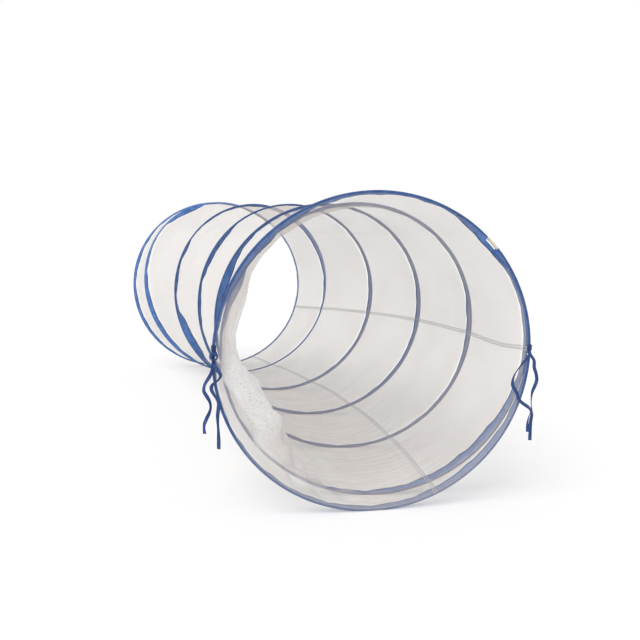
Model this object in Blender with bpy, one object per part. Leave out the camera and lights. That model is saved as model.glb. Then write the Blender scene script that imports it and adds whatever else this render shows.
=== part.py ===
"""Pop-up crawl tunnel: one spiral spring wire with a closed ring at each mouth,
sewn into a tape casing round a sleeve of net made of two lengthwise panels.

Units are metres, +Z is up, and +Y runs from the front mouth to the rear mouth.
Every turn stands upright and square to Y, and the centre line bows sideways.
"""
import bisect
import math

import bmesh
import bpy
from mathutils import Matrix, Vector

# mouth rings and turns, measured to the middle of the wire
front_half_width = 0.301
front_half_height = 0.2966
rear_half_width = 0.304
rear_half_height = 0.303
first_turn_half_width = 0.2935
first_turn_half_height = 0.287
last_turn_half_width = 0.282
last_turn_half_height = 0.300
flare_length = 0.080          # how soon a mouth ring's size fades into the turns

# the spiral, seen from the front: clockwise as it goes back
pitch = 0.3287
free_turns = 5
lead_in_angle = math.radians(61.4)   # angle that the wire takes to leave a mouth ring
leave_angle = math.radians(46.4)     # where it leaves, above the horizontal on the right
steps_per_turn = 32

# centre line: an arc that starts off to the right and bends left
bend_radius = 3.03
front_heading = math.radians(-7.45)

# wire, crimps and casing
wire_diameter = 0.0035
clearance = 0.0003
lap_gap = 0.0009              # between the two wires where the ring closes on itself
tape_ply = 0.0006
flange_reach = 0.0135         # from the wire's middle to the casing's sewn edge
flange_thickness = 0.0014
tape_end_gap = 0.0022         # between two tapes' ends where a mouth ring is left
crimp_wall = 0.0005
crimp_length = 0.029
crimp_showing = 0.018         # stretch of the crimp that the casing leaves bare

# net and its two sewn seams
net_thickness = 0.0008
waist_depth = 0.009           # how far the net draws in between two turns
net_gap = 0.0006
row_step = 0.0500
slack_depth = 0.072           # the loose fold inside the left wall, behind the front ring
slack_angle = math.radians(190)
slack_spread = math.radians(42)
waist_ease_share = 1 / 3      # share of a pitch over which the waist fades towards a mouth
mouth_rows = 6                # short facets next to each mouth
seam_width = 0.009
seam_thickness = 0.0008
side_seam_front = math.radians(1.0)
side_seam_rear = math.radians(-16.5)
side_seam_bend = 1.6          # above 1 the seam drops late along the tunnel
seam_snap_angle = math.radians(0.35)   # a seam this near a facet's corner runs on the corner
seam_strip_angle = math.radians(0.6)   # narrow strip of facets next to a seam that left a corner
floor_seam_angle = math.radians(-66)

# ribbon ties at the front ring
ribbon_width = 0.008
ribbon_thickness = 0.0008
ribbon_twist = math.radians(75)
ribbon_twist_steps = 4
tack_width = 0.009
tack_height = 0.012
tack_thickness = 0.0022
tack_round = 0.0006
knot_width = 0.014
knot_height = 0.020
knot_depth = 0.008
knot_round = 0.0012
knot_forward = 0.0030         # how far the knot's middle hangs in front of the tack's
right_tie_angle = math.radians(1.84)
left_tie_angle = math.pi - math.radians(3.67)

turn_of = 2 * math.pi
sharp_angle = math.radians(35)   # edges that turn more than this stay sharp
corner_share = 2 / math.sqrt(3)  # from a hexagon's flat to its corner
cover_cut_share = 1 / 3          # cut corners of a lap cover, as a share of its half thickness
wire_radius = wire_diameter / 2
hollow_radius = wire_radius + clearance
loop_radius = hollow_radius + tape_ply
lap_step = wire_diameter + lap_gap
crimp_half = wire_radius + clearance + crimp_wall
sleeve_hollow = crimp_half + clearance
sleeve_half = sleeve_hollow + tape_ply
net_outside = -sleeve_half - net_gap
net_inside = net_outside - net_thickness
seam_outside = net_inside - clearance
step_angle = turn_of / steps_per_turn
grid_start = -turn_of / 4 + step_angle / 2
spiral_end = free_turns * turn_of
gain = pitch / turn_of


def lead(angle):
    """Travel along the centre line once the wire has turned by an angle from its ring."""
    return gain * (math.hypot(angle, lead_in_angle) - lead_in_angle)


def angle_at(travel):
    """The turned angle at which the wire has travelled so far from its ring."""
    return math.sqrt((travel / gain + lead_in_angle) ** 2 - lead_in_angle ** 2)


length = 2 * lead(spiral_end / 2)
mouth_exit = angle_at(flange_reach + loop_radius * corner_share + clearance - lap_step / 2)
crimp_angle = crimp_length / front_half_width


def along(turned):
    """Place on the centre line of the wire: a lap before the front ring is left, one after."""
    if turned < 0:
        return turned / turn_of * lap_step
    if turned > spiral_end:
        return length + (turned - spiral_end) / turn_of * lap_step
    if turned < spiral_end / 2:
        return lead(turned)
    return length - lead(spiral_end - turned)


def centre(s):
    """Middle of the section at a place s on the bowed centre line."""
    heading = front_heading + s / bend_radius
    x = bend_radius * (math.cos(heading) - math.cos(front_heading))
    y = bend_radius * (math.sin(heading) - math.sin(front_heading))
    return x, y


def half_sizes(s):
    """Half width and half height of the wire's turn at a place on the centre line."""
    share = min(max(s / length, 0), 1)
    front_pull = math.exp(-(max(s, 0) / flare_length) ** 2)
    rear_pull = math.exp(-(max(length - s, 0) / flare_length) ** 2)
    free = 1 - front_pull - rear_pull
    width = first_turn_half_width + (last_turn_half_width - first_turn_half_width) * share
    height = first_turn_half_height + (last_turn_half_height - first_turn_half_height) * share
    width = width * free + front_half_width * front_pull + rear_half_width * rear_pull
    height = height * free + front_half_height * front_pull + rear_half_height * rear_pull
    return width, height


def row_places():
    """Where the sleeve's facets start and end: half steps near the mouths, whole ones between."""
    near = [k * row_step / 2 for k in range(mouth_rows + 1)]
    count = round((length - 2 * near[-1]) / row_step)
    step = (length - 2 * near[-1]) / count
    middle = [near[-1] + k * step for k in range(1, count)]
    return near + middle + [length - place for place in reversed(near)]


rows = row_places()
row_edges = [-row_step] + rows + [length + row_step]


def true_point(angle, s, rise):
    """A point outside the wire's middle by a rise, on the smooth sleeve."""
    x, y = centre(s)
    width, height = half_sizes(s)
    middle = (height + loop_radius) * math.cos(step_angle / 2)
    across = (width + rise) * math.cos(angle)
    up = (height + rise) * math.sin(angle)
    return Vector((x + across, y, middle + up))


def skin(angle, s, rise):
    """A point laid on the sleeve's flat facets, raised outwards from the wire's middle.

    Every piece uses the same facets, so neighbours keep their clearance."""
    column = math.floor((angle - grid_start) / step_angle)
    row = bisect.bisect_right(row_edges, s) - 1
    u = (angle - grid_start) / step_angle - column
    v = (s - row_edges[row]) / (row_edges[row + 1] - row_edges[row])
    corners = []
    for place in row_edges[row:row + 2]:
        low = true_point(grid_start + column * step_angle, place, rise)
        high = true_point(grid_start + (column + 1) * step_angle, place, rise)
        corners.append(low.lerp(high, u))
    return corners[0].lerp(corners[1], v)


def stations(first, last):
    """Turned angles from first to last, with every facet edge between them."""
    found = [first]
    number = math.ceil((leave_angle - grid_start - last) / step_angle)
    edges = []
    while True:
        turned = leave_angle - grid_start - number * step_angle
        if turned <= first:
            break
        edges.append(turned)
        number += 1
    close = clearance / front_half_width
    found += [t for t in reversed(edges) if t > first + close and t < last - close]
    breaks = (0, crimp_angle, mouth_exit, spiral_end - mouth_exit, spiral_end - crimp_angle, spiral_end)
    found += [t for t in breaks if t > first + 2 * close and t < last - 2 * close]
    return sorted(found) + [last]


def waist(angle, s):
    """How far the net lies inside the turns: drawn in between them, loose on the front left."""
    place = min(max(s, 0), length)
    if place < length / 2:
        turned = angle_at(place)
    else:
        turned = spiral_end - angle_at(length - place)
    phase = ((angle - (leave_angle - turned)) / turn_of) % 1
    near_end = min(place, length - place) / pitch
    ease = min(1, near_end / waist_ease_share)
    draw = waist_depth * math.sin(math.pi * phase) ** 2 * ease
    first_crossing = lead((leave_angle - angle) % turn_of)
    if 0 < place < first_crossing:
        off = (angle - slack_angle + math.pi) % turn_of - math.pi
        fold = math.exp(-(off / slack_spread) ** 2)
        draw += slack_depth * fold * math.sin(math.pi * place / first_crossing) ** 2
    return draw


def make_material(name, colour, roughness, metallic=0.0):
    material = bpy.data.materials.new(name)
    material.use_nodes = True
    shader = material.node_tree.nodes["Principled BSDF"]
    shader.inputs["Base Color"].default_value = (*colour, 1)
    shader.inputs["Roughness"].default_value = roughness
    shader.inputs["Metallic"].default_value = metallic
    material.diffuse_color = (*colour, 1)
    return material


def add_mesh(name, points, faces, material):
    mesh = bpy.data.meshes.new(name)
    mesh.from_pydata([tuple(p) for p in points], [], faces)
    work = bmesh.new()
    work.from_mesh(mesh)
    bmesh.ops.recalc_face_normals(work, faces=work.faces)
    work.to_mesh(mesh)
    work.free()
    mesh.shade_smooth()
    mesh.set_sharp_from_angle(angle=sharp_angle)
    mesh.materials.append(material)
    piece = bpy.data.objects.new(name, mesh)
    parts.objects.link(piece)
    return piece


def solid_loft(name, loops, material):
    """A rod whose section changes from loop to loop, closed at both ends."""
    count = len(loops[0])
    points = [p for loop in loops for p in loop]
    faces = []
    for k in range(len(loops) - 1):
        for i in range(count):
            j = (i + 1) % count
            faces.append((k * count + i, k * count + j, (k + 1) * count + j, (k + 1) * count + i))
    faces.append(tuple(range(count)))
    faces.append(tuple((len(loops) - 1) * count + i for i in range(count)))
    return add_mesh(name, points, faces, material)


def hollow_loft(name, outers, inners, material):
    """A tube with a wall, open at both ends."""
    count = len(outers[0])
    rows = len(outers)
    points = [p for loop in outers for p in loop] + [p for loop in inners for p in loop]
    inner = rows * count
    faces = []
    for k in range(rows - 1):
        for i in range(count):
            j = (i + 1) % count
            for base in (0, inner):
                faces.append((base + k * count + i, base + k * count + j,
                              base + (k + 1) * count + j, base + (k + 1) * count + i))
    for k in (0, rows - 1):
        for i in range(count):
            j = (i + 1) % count
            faces.append((k * count + i, k * count + j, inner + k * count + j, inner + k * count + i))
    return add_mesh(name, points, faces, material)


def sheet_loft(name, outers, inners, material):
    """A sheet with a thickness, from rows of points on its two faces."""
    count = len(outers[0])
    loops = [outer + inner[::-1] for outer, inner in zip(outers, inners)]
    points = [p for loop in loops for p in loop]
    around = 2 * count
    faces = []
    for k in range(len(loops) - 1):
        for i in range(around):
            j = (i + 1) % around
            faces.append((k * around + i, k * around + j, (k + 1) * around + j, (k + 1) * around + i))
    for k in (0, len(loops) - 1):
        for i in range(count - 1):
            faces.append((k * around + i, k * around + i + 1,
                          k * around + around - 2 - i, k * around + around - 1 - i))
    return add_mesh(name, points, faces, material)


def casing_section(side):
    """Outer and inner outline of the folded tape: a loop round the wire and a sewn flange.

    Each pair is the travel along the tunnel and the rise. The flange lies on the net, towards
    the rear mouth where side is 1 and towards the front where it is -1. Of the outer outline,
    the three points in seated lie on the sleeve, and the loop stands square to the wire."""
    outer_corner = loop_radius * corner_share
    inner_corner = hollow_radius * corner_share
    seat = -sleeve_half
    top = seat + flange_thickness
    outer = [(outer_corner, 0), (outer_corner / 2, loop_radius), (-outer_corner / 2, loop_radius),
             (-outer_corner, 0), (-outer_corner / 2, seat), (flange_reach, seat), (flange_reach, top)]
    inner = [(inner_corner, 0), (inner_corner / 2, hollow_radius), (-inner_corner / 2, hollow_radius),
             (-inner_corner, 0), (-inner_corner / 2, -hollow_radius), (inner_corner / 2, -hollow_radius)]
    low = Vector(inner[5])
    high = Vector(inner[0])
    inner.append(tuple(low.lerp(high, 1 / 2)))
    return [(side * y, r) for y, r in outer], [(side * y, r) for y, r in inner]


def add_casing(name, first, last, side, material):
    """Tape casing along the wire between two turned angles."""
    outer, inner = casing_section(side)
    seated = (4, 5, 6)
    outers = []
    inners = []
    for turned in stations(first, last):
        angle = leave_angle - turned
        s = along(turned)
        outers.append([skin(angle, s + y, r) if i in seated else skin(angle, s, r) + Vector((0, y, 0))
                       for i, (y, r) in enumerate(outer)])
        inners.append([skin(angle, s, r) + Vector((0, y, 0)) for y, r in inner])
    return hollow_loft(name, outers, inners, material)


def flat_oval(low, high, half, cut):
    """Outline with cut corners that reaches from low to high along the centre line."""
    middle = (low + high) / 2
    return [(low, -half + cut), (low + cut, -half), (middle, -half), (high - cut, -half),
            (high, -half + cut), (high, half - cut), (high - cut, half), (middle, half),
            (low + cut, half), (low, half - cut)]


def add_lap_cover(name, from_ring, to_angle, near, wall, at_front, material):
    """A cover over the two wires where a mouth ring laps its own end.

    near is the space from a wire's middle to the cover's inner face."""
    outers = []
    inners = []
    cut = near * cover_cut_share
    first, last = from_ring, to_angle
    if not at_front:
        first, last = spiral_end - to_angle, spiral_end - from_ring
    for turned in stations(first, last):
        angle = leave_angle - turned
        low = along(turned - turn_of) if at_front else along(turned)
        high = along(turned) if at_front else along(turned + turn_of)
        outers.append([skin(angle, s, r) for s, r in flat_oval(low - near - wall, high + near + wall,
                                                               near + wall, cut + wall / 2)])
        inners.append([skin(angle, s, r) for s, r in flat_oval(low - near, high + near, near, cut)])
    return hollow_loft(name, outers, inners, material)


def add_wire(material):
    turns = stations(-turn_of, spiral_end + turn_of)
    curve = bpy.data.curves.new("spring_wire", "CURVE")
    curve.dimensions = "3D"
    curve.bevel_depth = wire_radius
    curve.bevel_resolution = 1
    curve.use_fill_caps = True
    spline = curve.splines.new("POLY")
    spline.points.add(len(turns) - 1)
    for point, turned in zip(spline.points, turns):
        point.co = (*skin(leave_angle - turned, along(turned), 0), 1)
    curve.materials.append(material)
    wire = bpy.data.objects.new("spring_wire", curve)
    parts.objects.link(wire)
    return wire


def add_tail(name, start, route, material):
    """A flat ribbon that hangs along a route: flat to the front at first, then edge on."""
    loops = []
    for k, place in enumerate(route):
        ahead = Vector(route[min(k + 1, len(route) - 1)]) - Vector(route[max(k - 1, 0)])
        if k == 0:
            ahead = Vector((0, 0, ahead.z))
        sideways = Vector((-ahead.z, 0, ahead.x)).normalized()
        forwards = sideways.cross(ahead).normalized()
        turn = ribbon_twist * min(max(k - 1, 0) / ribbon_twist_steps, 1)
        wide = (sideways * math.cos(turn) + forwards * math.sin(turn)) * ribbon_width / 2
        thick = (forwards * math.cos(turn) - sideways * math.sin(turn)) * ribbon_thickness / 2
        here = start + Vector(place)
        loops.append([here + wide * i + thick * j for i, j in ((1, 1), (1, -1), (-1, -1), (-1, 1))])
    return solid_loft(name, loops, material)


def add_block(name, middle, sizes, rounding, material):
    """A small rounded block."""
    mesh = bpy.data.meshes.new(name)
    work = bmesh.new()
    bmesh.ops.create_cube(work, size=1)
    bmesh.ops.scale(work, vec=sizes, verts=work.verts)
    bmesh.ops.bevel(work, geom=work.edges[:], offset=rounding, segments=2, affect="EDGES")
    bmesh.ops.translate(work, vec=middle, verts=work.verts)
    work.to_mesh(mesh)
    work.free()
    mesh.materials.append(material)
    piece = bpy.data.objects.new(name, mesh)
    parts.objects.link(piece)
    return piece


def add_tie(side_name, angle, ring_front, knotted, material):
    """A ribbon folded in its middle and sewn to the front of the mouth ring, with two tails."""
    seat = skin(angle, ring_front - clearance, 0)
    middle = seat - Vector((0, tack_thickness / 2, 0))
    add_block(f"front_{side_name}_tie_tack", middle, (tack_width, tack_thickness, tack_height),
              tack_round, material)
    below = middle - Vector((0, 0, tack_height / 2 + clearance))
    if knotted:
        below -= Vector((0, 0, knot_height / 2))
        add_block(f"front_{side_name}_tie_knot", below - Vector((0, knot_forward, 0)),
                  (knot_width, knot_depth, knot_height), knot_round, material)
        below -= Vector((0, knot_forward, knot_height / 2 + clearance))
    layer = Vector((0, ribbon_thickness / 2 + clearance / 2, 0))
    for letter, side in (("a", -1), ("b", 1)):
        name = f"front_{side_name}_tie_tail_{letter}"
        add_tail(name, below + layer * side, tail_routes[name], material)


def side_seam(s):
    """Angle of the side seam; where it changes facets it passes through the corner at a row."""
    share = min(max(s / length, 0), 1)
    angle = side_seam_front + (side_seam_rear - side_seam_front) * share ** side_seam_bend
    corner = grid_start + round((angle - grid_start) / step_angle) * step_angle
    if abs(angle - corner) < seam_snap_angle:
        return corner
    return angle


def net_point(angle, s, depth):
    """On the net, drawn in by the waist of the four facet corners around the point."""
    column = math.floor((angle - grid_start) / step_angle + 1e-9)
    u = (angle - grid_start) / step_angle - column
    low = waist(grid_start + column * step_angle, s)
    high = waist(grid_start + (column + 1) * step_angle, s)
    return skin(angle, s, depth - low - (high - low) * u)


def add_net(name, first_edge, last_edge, material):
    """One lengthwise panel between two seams, each given as an angle at a place s."""
    gap = clearance / front_half_width
    firsts = [(first_edge(s) - grid_start) / step_angle for s in rows]
    lasts = [(last_edge(s) - grid_start) / step_angle for s in rows]
    columns = [grid_start + k * step_angle for k in range(math.ceil(min(firsts)), math.floor(max(lasts)) + 1)]
    outers = []
    inners = []
    for s in rows:
        first = first_edge(s) + gap
        last = last_edge(s) - gap
        angles = [first]
        for column in columns:
            if column < first + gap:
                column = first + seam_strip_angle
            elif column > last - gap:
                column = last - seam_strip_angle
            angles.append(column)
        angles.append(last)
        outers.append([net_point(a, s, net_outside) for a in angles])
        inners.append([net_point(a, s, net_inside) for a in angles])
    return sheet_loft(name, outers, inners, material)


def add_seam(name, edge, material):
    """A sewn band that covers the meeting edges of the two panels, inside the sleeve."""
    loops = []
    for s in rows:
        half = seam_width / 2 / half_sizes(s)[0]
        loops.append([net_point(edge(s) - half, s, seam_outside),
                      net_point(edge(s) + half, s, seam_outside),
                      net_point(edge(s) + half, s, seam_outside - seam_thickness),
                      net_point(edge(s) - half, s, seam_outside - seam_thickness)])
    return solid_loft(name, loops, material)


# routes of the ribbon tails, hand-chosen, each from where it leaves its tack or knot
tail_routes = {
    "front_right_tie_tail_a": [
        (0, 0, 0), (-0.0010, -0.0030, -0.0045), (-0.0050, -0.0065, -0.0100),
        (-0.0155, -0.0080, -0.0210), (-0.0240, -0.0085, -0.0310), (-0.0315, -0.0085, -0.0415),
        (-0.0355, -0.0085, -0.0530), (-0.0355, -0.0085, -0.0645), (-0.0300, -0.0085, -0.0735),
        (-0.0248, -0.0085, -0.0825), (-0.0220, -0.0085, -0.0910), (-0.0150, -0.0085, -0.0985),
        (-0.0065, -0.0085, -0.1045), (0.0015, -0.0085, -0.1105), (0.0040, -0.0085, -0.1190),
        (0.0010, -0.0085, -0.1275), (-0.0010, -0.0085, -0.1380), (-0.0005, -0.0085, -0.1475),
        (0.0005, -0.0085, -0.1570)],
    "front_right_tie_tail_b": [
        (0, 0, 0), (0.0005, -0.0004, -0.0045), (0.0040, -0.0015, -0.0100),
        (0.0092, -0.0036, -0.0190), (0.0100, -0.0042, -0.0320), (0.0145, -0.0042, -0.0445),
        (0.0165, -0.0042, -0.0570), (0.0130, -0.0042, -0.0685), (0.0088, -0.0042, -0.0790),
        (0.0074, -0.0042, -0.0910), (0.0076, -0.0042, -0.1030), (0.0088, -0.0042, -0.1145),
        (0.0100, -0.0042, -0.1250), (0.0086, -0.0042, -0.1360), (0.0082, -0.0042, -0.1490),
        (0.0085, -0.0042, -0.1620), (0.0087, -0.0042, -0.1755)],
    "front_left_tie_tail_a": [
        (0, 0, 0), (0.0027, -0.0030, -0.0063), (0.0081, -0.0055, -0.0135),
        (0.0113, -0.0062, -0.0212), (0.0063, -0.0062, -0.0288), (-0.0023, -0.0062, -0.0356),
        (-0.0049, -0.0062, -0.0432), (-0.0014, -0.0062, -0.0522), (0.0040, -0.0062, -0.0612),
        (0.0072, -0.0062, -0.0702), (0.0070, -0.0062, -0.0810), (0.0059, -0.0062, -0.0918),
        (0.0061, -0.0062, -0.1026), (0.0067, -0.0062, -0.1134), (0.0072, -0.0062, -0.1251),
        (0.0076, -0.0062, -0.1377), (0.0077, -0.0062, -0.1530)],
    "front_left_tie_tail_b": [
        (0, 0, 0), (-0.0018, 0.0001, -0.0072), (-0.0040, 0.0002, -0.0158),
        (-0.0080, 0.0008, -0.0243), (-0.0127, 0.0026, -0.0320), (-0.0166, 0.0034, -0.0405),
        (-0.0171, 0.0034, -0.0504), (-0.0122, 0.0034, -0.0594), (-0.0072, 0.0034, -0.0688),
        (-0.0056, 0.0034, -0.0792), (-0.0081, 0.0034, -0.0891), (-0.0126, 0.0034, -0.0990),
        (-0.0166, 0.0034, -0.1089), (-0.0173, 0.0034, -0.1179), (-0.0164, 0.0034, -0.1269)],
}

parts = bpy.data.collections.new("play_tunnel")


def centre_on_floor():
    """Puts the middle of the tunnel's box, tails and knot left out, over the origin."""
    bpy.context.view_layer.update()
    corners = []
    for piece in parts.objects:
        if "_tail_" not in piece.name and "_knot" not in piece.name:
            corners += [Vector(corner) for corner in piece.bound_box]
    shift = Vector([-(min(c[i] for c in corners) + max(c[i] for c in corners)) / 2 for i in (0, 1)] + [0])
    for piece in parts.objects:
        piece.data.transform(Matrix.Translation(shift))
    print("moved by", [round(value, 5) for value in shift])


def measure_gap():
    """The spring wire's least gap to itself, on its points a little way apart along it."""
    points = [skin(leave_angle - turned, along(turned), 0)
              for turned in stations(-turn_of, spiral_end + turn_of)]
    least = length
    for i, one in enumerate(points):
        for k in range(i + steps_per_turn // 2, len(points) - 1):
            start = points[k]
            run = points[k + 1] - start
            part = min(max((one - start).dot(run) / run.length_squared, 0), 1)
            least = min(least, (start + run * part - one).length)
    print("least gap of the spring wire to itself: %.5f" % (least - wire_diameter))


def clear_scene():
    for item in list(bpy.data.objects):
        bpy.data.objects.remove(item, do_unlink=True)


def build():
    clear_scene()
    bpy.context.scene.collection.children.link(parts)
    tape = make_material("blue_tape", (0.05, 0.145, 0.46), 0.75)
    steel = make_material("spring_steel", (0.55, 0.56, 0.58), 0.35, 1.0)
    plastic = make_material("crimp_cover", (0.80, 0.76, 0.62), 0.5)
    net = make_material("white_net", (0.82, 0.81, 0.79), 0.85)
    seam = make_material("net_seam", (0.70, 0.70, 0.71), 0.85)
    ribbon = make_material("blue_ribbon", (0.06, 0.16, 0.50), 0.6)

    add_wire(steel)
    sleeve_front = along(leave_angle - right_tie_angle - turn_of) - sleeve_half
    tape_front = along(leave_angle - left_tie_angle) - loop_radius * corner_share
    add_tie("right", right_tie_angle, sleeve_front, False, ribbon)
    add_tie("left", left_tie_angle, tape_front, True, ribbon)
    bare = crimp_showing / front_half_width
    slit = clearance / front_half_width
    tape_gap = tape_end_gap / front_half_width
    for mouth, at_front in (("front", True), ("rear", False)):
        inside = crimp_half - crimp_wall
        add_lap_cover(mouth + "_wire_crimp", 0, crimp_angle, inside, crimp_wall, at_front, plastic)
        add_lap_cover(mouth + "_lap_sleeve", bare, mouth_exit, sleeve_hollow, tape_ply, at_front, tape)
    add_casing("front_ring_casing", mouth_exit + tape_gap - turn_of, -tape_gap, 1, tape)
    rear_last = spiral_end + turn_of - mouth_exit - tape_gap
    add_casing("rear_ring_casing", spiral_end + tape_gap, rear_last, -1, tape)
    for number in range(free_turns):
        first = number * turn_of if number else mouth_exit
        last = (number + 1) * turn_of if number < free_turns - 1 else spiral_end - mouth_exit
        side = 1 if number < free_turns - 1 else -1
        start_gap = slit if number else tape_gap
        end_gap = slit if number < free_turns - 1 else tape_gap
        add_casing(f"casing_turn_{number + 1}", first + start_gap, last - end_gap, side, tape)

    def floor_seam(s):
        return floor_seam_angle

    add_net("net_strip_panel", floor_seam, side_seam, net)
    add_net("net_wrap_panel", side_seam, lambda s: floor_seam(s) + turn_of, net)
    add_seam("side_seam_band", side_seam, seam)
    add_seam("floor_seam_band", floor_seam, seam)
    centre_on_floor()
    measure_gap()


build()
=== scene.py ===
import math

import bpy
import numpy as np
from mathutils import Matrix, Vector


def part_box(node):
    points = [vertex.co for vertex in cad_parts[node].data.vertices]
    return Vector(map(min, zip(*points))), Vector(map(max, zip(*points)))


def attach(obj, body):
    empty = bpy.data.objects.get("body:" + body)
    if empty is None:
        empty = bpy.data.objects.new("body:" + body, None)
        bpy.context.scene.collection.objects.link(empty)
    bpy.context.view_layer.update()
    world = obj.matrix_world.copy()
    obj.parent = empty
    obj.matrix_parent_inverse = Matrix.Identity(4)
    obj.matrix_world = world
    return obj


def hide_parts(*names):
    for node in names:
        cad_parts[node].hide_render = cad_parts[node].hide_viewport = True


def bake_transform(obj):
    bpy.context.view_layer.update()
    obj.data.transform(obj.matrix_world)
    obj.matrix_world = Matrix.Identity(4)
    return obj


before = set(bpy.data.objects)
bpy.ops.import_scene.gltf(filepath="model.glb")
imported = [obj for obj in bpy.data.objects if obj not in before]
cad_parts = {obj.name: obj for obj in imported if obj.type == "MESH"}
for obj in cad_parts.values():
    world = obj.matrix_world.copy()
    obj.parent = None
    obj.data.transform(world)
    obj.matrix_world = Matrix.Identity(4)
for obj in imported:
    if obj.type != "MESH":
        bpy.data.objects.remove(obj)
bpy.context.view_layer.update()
turn = 2 * math.pi

# camera, as found from the photo
cameraValues = {
    "place": (-0.2949, -2.0645, 0.5348),
    "yaw": 0.2080,          # turned to the right of +Y
    "down": 0.1321,         # tipped down
    "roll": 0.0152,
    "lens": 42.19,
    "shift": (-0.0030, 0.0062),
}


def addCamera(values):
    yaw, down, roll = values["yaw"], values["down"], values["roll"]
    right = Vector((math.cos(yaw), -math.sin(yaw), 0))
    level = Vector((math.sin(yaw), math.cos(yaw), 0))
    ahead = level * math.cos(down) - Vector((0, 0, math.sin(down)))
    up = right.cross(ahead)
    sideAxis = right * math.cos(roll) + up * math.sin(roll)
    upAxis = up * math.cos(roll) - right * math.sin(roll)
    lens = bpy.data.cameras.new("camera")
    lens.lens = values["lens"]
    lens.shift_x, lens.shift_y = values["shift"]
    camera = bpy.data.objects.new("camera", lens)
    bpy.context.scene.collection.objects.link(camera)
    turned = Matrix((sideAxis, upAxis, -ahead)).transposed().to_4x4()
    camera.matrix_world = Matrix.Translation(values["place"]) @ turned
    bpy.context.scene.camera = camera


addCamera(cameraValues)
print("camera placed")

spiral = {
    "frontHalf": (0.301, 0.2966),     # half width and half height of the mouth rings and turns
    "rearHalf": (0.304, 0.303),
    "firstHalf": (0.2935, 0.287),
    "lastHalf": (0.282, 0.300),
    "flare": 0.080,
    "pitch": 0.3287,
    "turns": 5,
    "leadIn": math.radians(61.4),
    "leave": math.radians(46.4),      # where the wire leaves the front ring
    "bend": 3.03,                     # radius of the bowed centre line
    "heading": math.radians(-7.45),
    "lapStep": 0.0044,                # between the two wires where a ring laps itself
    "wireRadius": 0.00175,
    "tapeRadius": 0.00265,
    "raise": (0.9959, 0.0002),        # these two keep the lowest tape on the floor
    "place": (0.08803, -0.7524),      # middle of the front ring
}
gain = spiral["pitch"] / turn
lastTurned = spiral["turns"] * turn


def lead(angle):
    return gain * (np.hypot(angle, spiral["leadIn"]) - spiral["leadIn"])


sleeveLength = float(2 * lead(lastTurned / 2))


def along(turned):
    turned = np.asarray(turned, float)
    first = lead(np.clip(turned, 0, lastTurned / 2))
    second = sleeveLength - lead(np.clip(lastTurned - turned, 0, lastTurned / 2))
    s = np.where(turned < lastTurned / 2, first, second)
    s = np.where(turned < 0, turned / turn * spiral["lapStep"], s)
    over = sleeveLength + (turned - lastTurned) / turn * spiral["lapStep"]
    return np.where(turned > lastTurned, over, s)


def sleeveSpot(angle, s, rise):
    angle, s, rise = np.broadcast_arrays(np.asarray(angle, float), s, rise)
    heading = spiral["heading"] + s / spiral["bend"]
    x = spiral["bend"] * (np.cos(heading) - math.cos(spiral["heading"]))
    y = spiral["bend"] * (np.sin(heading) - math.sin(spiral["heading"]))
    share = np.clip(s / sleeveLength, 0, 1)
    frontPull = np.exp(-(np.maximum(s, 0) / spiral["flare"]) ** 2)
    rearPull = np.exp(-(np.maximum(sleeveLength - s, 0) / spiral["flare"]) ** 2)
    sizes = []
    for i in (0, 1):
        first, last = spiral["firstHalf"][i], spiral["lastHalf"][i]
        size = (first + (last - first) * share) * (1 - frontPull - rearPull)
        sizes.append(size + spiral["frontHalf"][i] * frontPull + spiral["rearHalf"][i] * rearPull)
    squeeze, lift = spiral["raise"]
    middle = (sizes[1] + spiral["tapeRadius"]) * squeeze + lift
    spot = np.stack([x + (sizes[0] + rise) * np.cos(angle), y,
                     middle + (sizes[1] + rise) * np.sin(angle)], -1)
    return spot + np.array([*spiral["place"], 0])


def unit(v):
    return v / np.maximum(np.linalg.norm(v, axis=-1, keepdims=True), 1e-12)


# the real sleeve folds up between the middles of the two mouth rings; this point over the rear ring's
# middle, 0.3 up, is kept but nothing reads it
bendEnd = (*sleeveSpot(math.pi / 2, sleeveLength, 0)[:2], 0.3)


def bent(piece, slot, *nodes):
    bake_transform(piece)
    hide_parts(*nodes)


def rigid(piece, body, slot, *nodes):
    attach(piece, body)
    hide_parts(*nodes)


def wireFrame(turned):
    turned = np.asarray(turned, float)
    angle = spiral["leave"] - turned
    spot = sleeveSpot(angle, along(turned), 0)
    small = 1e-4
    before = sleeveSpot(angle + small, along(turned - small), 0)
    after = sleeveSpot(angle - small, along(turned + small), 0)
    run = unit(after - before)
    outward = np.stack([np.cos(angle), np.zeros_like(angle), np.sin(angle)], -1)
    outward = unit(outward - (outward * run).sum(-1, keepdims=True) * run)
    rearward = np.cross(run, outward)
    rearward *= np.sign(rearward[..., 1:2])
    return spot, run, outward, rearward


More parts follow.
